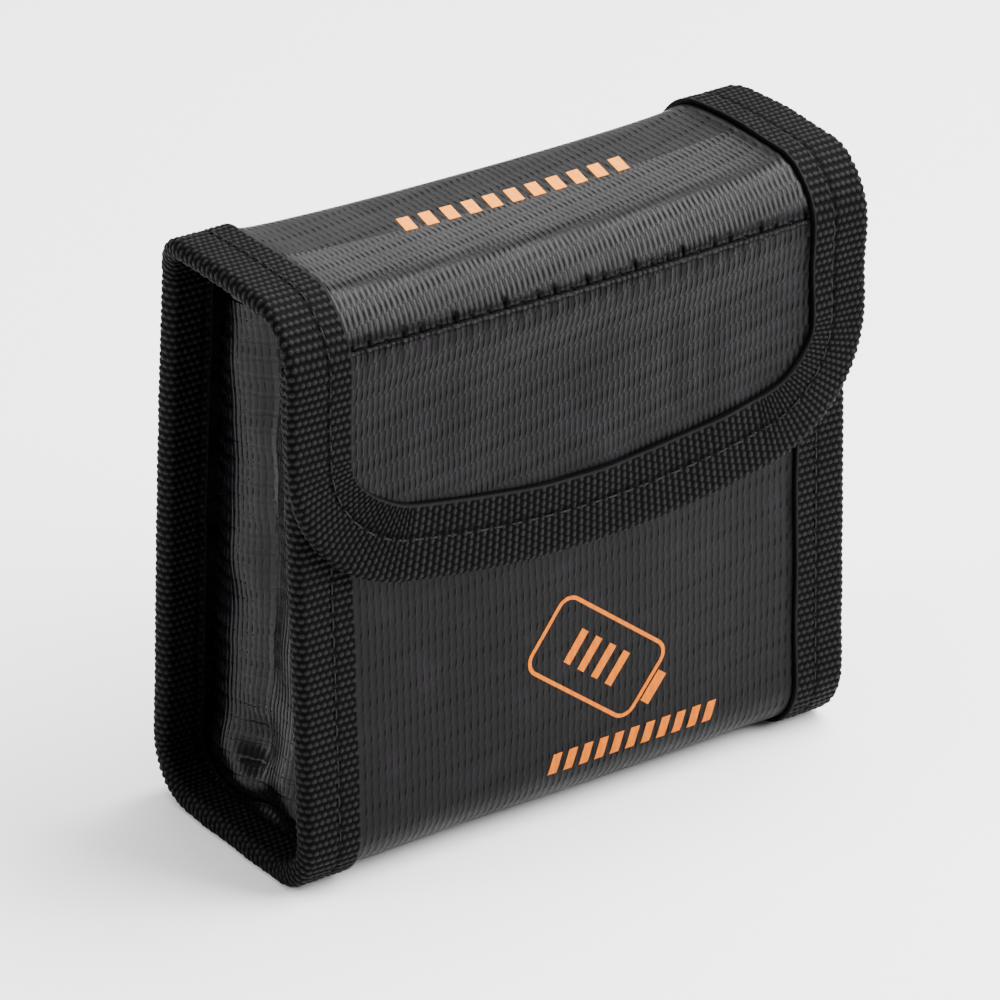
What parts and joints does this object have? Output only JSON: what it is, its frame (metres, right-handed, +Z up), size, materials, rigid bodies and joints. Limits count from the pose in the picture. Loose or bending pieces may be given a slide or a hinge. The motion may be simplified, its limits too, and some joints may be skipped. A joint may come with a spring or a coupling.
{
  "type": "lipo safe bag",
  "caption": "Fire-resistant battery pouch of coated glass-fibre cloth with recessed gussets, webbing-bound edges and a hook-and-loop lid flap.",
  "frame": {"origin": "middle of the pouch's overall box, on the floor plane", "axes": "+X along the width, -Y out of the front wall with the flap, +Z up"},
  "size_m": [0.114, 0.0498, 0.1062],
  "materials": {
    "outer_cloth": "coated glass-fibre cloth, semi-gloss",
    "lining_cloth": "silver-grey coated glass-fibre lining, satin",
    "felt": "needled glass-fibre felt, matt",
    "webbing": "woven polyester binding webbing, matt",
    "thread": "twisted polyester thread, slight sheen",
    "loop_tape": "brushed loop pile, matt",
    "hook_tape": "moulded hook tape, slight sheen",
    "front_ink": "screen-printed orange ink, satin",
    "top_ink": "screen-printed pale orange ink, satin"
  },
  "bodies": {
    "bag": {"end_binding_left": "webbing", "end_binding_right": "webbing", "end_stitches_left": "thread", "end_stitches_right": "thread", "felt_core": "felt", "front_dashes": "front_ink", "front_icon": "front_ink", "gusset_cloth_left": "outer_cloth", "gusset_cloth_right": "outer_cloth", "gusset_lining_left": "lining_cloth", "gusset_lining_right": "lining_cloth", "lining": "lining_cloth", "loop_patch": "loop_tape", "loop_patch_stitches": "thread", "mouth_binding": "webbing", "outer_cloth": "outer_cloth"},
    "flap": {"flap_binding": "webbing", "flap_cloth": "outer_cloth", "flap_edge_stitches": "thread", "flap_lining": "lining_cloth", "fold_stitches": "thread", "hook_patch": "hook_tape"},
    "lid": {"lid_binding_left": "webbing", "lid_binding_right": "webbing", "lid_cloth": "outer_cloth", "lid_felt": "felt", "lid_lining": "lining_cloth", "lid_stitches_left": "thread", "lid_stitches_right": "thread", "top_dashes": "top_ink"}
  },
  "joints": [
    {"name": "lid_hinge", "type": "hinge", "parent": "bag", "child": "lid", "pos_m": [0, 0.0155, 0.10413], "axis": [-1, 0, 0], "range_deg": [0, 205]},
    {"name": "flap_hinge", "type": "hinge", "parent": "lid", "child": "flap", "pos_m": [0, -0.02085, 0.1037], "axis": [-1, 0, 0], "range_deg": [0, 90]}
  ]
}
